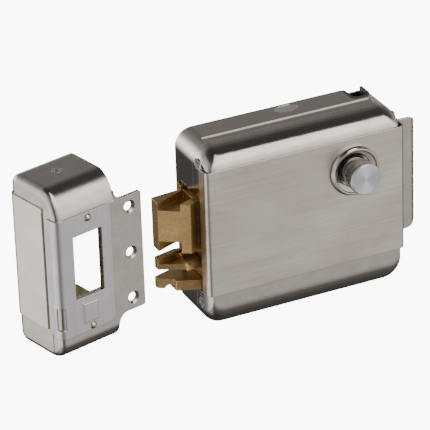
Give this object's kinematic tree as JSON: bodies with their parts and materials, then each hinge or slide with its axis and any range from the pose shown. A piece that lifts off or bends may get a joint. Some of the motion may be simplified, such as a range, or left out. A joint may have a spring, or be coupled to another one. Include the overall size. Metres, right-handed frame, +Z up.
{
  "type": "electric rim lock with strike",
  "caption": "Surface-mounted electric rim lock with brass bolts, turn knob and finger pull, and its separate box strike.",
  "frame": {"origin": "centre of the lock's flat mounting face, where it meets the door", "axes": "+Y out of the mounting face into the door, so the knob faces -Y; +X along the lock away from its bolts; +Z up"},
  "size_m": [0.225, 0.0687, 0.1053],
  "materials": {
    "nickel": "polished",
    "brushed_nickel": "brushed",
    "zinc_steel": "satin",
    "brass": "satin",
    "spring_steel": "drawn",
    "copper_wire": "enamelled",
    "moulded_nylon": "matte",
    "black_rubber": "matte",
    "soft_iron": "machined",
    "knob_nickel": "turned",
    "satin_liner": "satin"
  },
  "bodies": {
    "base": {"rear_case": "nickel", "front_cover": "nickel", "brushed_front_plate": "brushed_nickel", "cover_screws": "zinc_steel", "mechanism_plate": "zinc_steel", "bolt_guide": "brass", "spring_bracket": "zinc_steel", "bracket_rivets": "zinc_steel", "latch_spring_rod": "zinc_steel", "solenoid_frame": "zinc_steel", "solenoid_screws": "zinc_steel", "solenoid_bobbin": "moulded_nylon", "solenoid_coil": "copper_wire", "solenoid_pole": "soft_iron", "pawl_pivot": "zinc_steel", "terminal_block": "moulded_nylon", "terminal_screws": "brass", "cable_grommet": "black_rubber", "finger_pull": "nickel", "pull_rivets": "zinc_steel", "rosette": "nickel", "knob_bushing": "zinc_steel", "bushing_nut": "brass"},
    "latch": {"latch_bolt": "brass", "latch_tail": "zinc_steel", "latch_pins": "brass", "latch_spring": "spring_steel"},
    "trigger": {"trigger_tongue": "brass", "trigger_rod": "zinc_steel", "trigger_clip": "spring_steel", "trigger_spring": "spring_steel"},
    "cocking": {"cocking_tongue": "brass", "cocking_rod": "zinc_steel", "cocking_clip": "spring_steel", "cocking_spring": "spring_steel"},
    "plunger": {"plunger": "soft_iron", "plunger_pin": "zinc_steel", "plunger_spring": "spring_steel"},
    "pawl": {"pawl": "zinc_steel"},
    "spindle": {"knob_spindle": "zinc_steel", "spindle_cam": "zinc_steel"},
    "knob": {"knob_barrel": "knob_nickel", "knob_cap": "knob_nickel", "knob_spring": "spring_steel"},
    "key_rotor": {"key_rotor": "brass", "rotor_arm": "zinc_steel"},
    "strike": {"strike_case": "nickel", "strike_cover_plate": "brushed_nickel", "strike_liner": "satin_liner", "strike_keeper": "zinc_steel", "strike_rivets": "nickel", "strike_cap_screws": "zinc_steel"}
  },
  "joints": [
    {"name": "latch_slide", "type": "slide", "parent": "base", "child": "latch", "axis": [1, 0, 0], "range_m": [0, 0.018], "stiffness_N_per_m": 150, "springref_m": -0.02, "deforming": ["latch_spring"]},
    {"name": "trigger_slide", "type": "slide", "parent": "base", "child": "trigger", "axis": [1, 0, 0], "range_m": [0, 0.017], "stiffness_N_per_m": 100, "springref_m": -0.01, "deforming": ["trigger_spring"]},
    {"name": "cocking_slide", "type": "slide", "parent": "base", "child": "cocking", "axis": [1, 0, 0], "range_m": [0, 0.017], "stiffness_N_per_m": 100, "springref_m": -0.01, "deforming": ["cocking_spring"]},
    {"name": "plunger_slide", "type": "slide", "parent": "base", "child": "plunger", "axis": [1, 0, 0], "range_m": [0, 0.006], "stiffness_N_per_m": 80, "springref_m": -0.006, "deforming": ["plunger_spring"]},
    {"name": "pawl_turn", "type": "hinge", "parent": "base", "child": "pawl", "pos_m": [-0.004, -0.012, -0.012], "axis": [0, -1, 0], "range_deg": [0, 12.8]},
    {"name": "knob_turn", "type": "hinge", "parent": "base", "child": "spindle", "pos_m": [0.0285, -0.04, 0.0242], "axis": [0, -1, 0], "range_deg": [0, 70.1]},
    {"name": "knob_press", "type": "slide", "parent": "spindle", "child": "knob", "axis": [0, 1, 0], "range_m": [0, 0.0028], "stiffness_N_per_m": 400, "springref_m": -0.002, "deforming": ["knob_spring"]},
    {"name": "key_rotor_turn", "type": "hinge", "parent": "base", "child": "key_rotor", "pos_m": [0.0285, -0.003, 0.0242], "axis": [0, -1, 0], "range_deg": [0, 70.1]},
    {"name": "strike_travel", "type": "slide", "parent": "base", "child": "strike", "axis": [-1, 0, 0], "range_m": [0, 0.1]}
  ],
  "couplings": [
    {"joint": "knob_turn", "follows": "latch_slide", "rad_per_m": 67.874},
    {"joint": "key_rotor_turn", "follows": "latch_slide", "rad_per_m": 67.874},
    {"joint": "pawl_turn", "follows": "plunger_slide", "rad_per_m": 37}
  ]
}
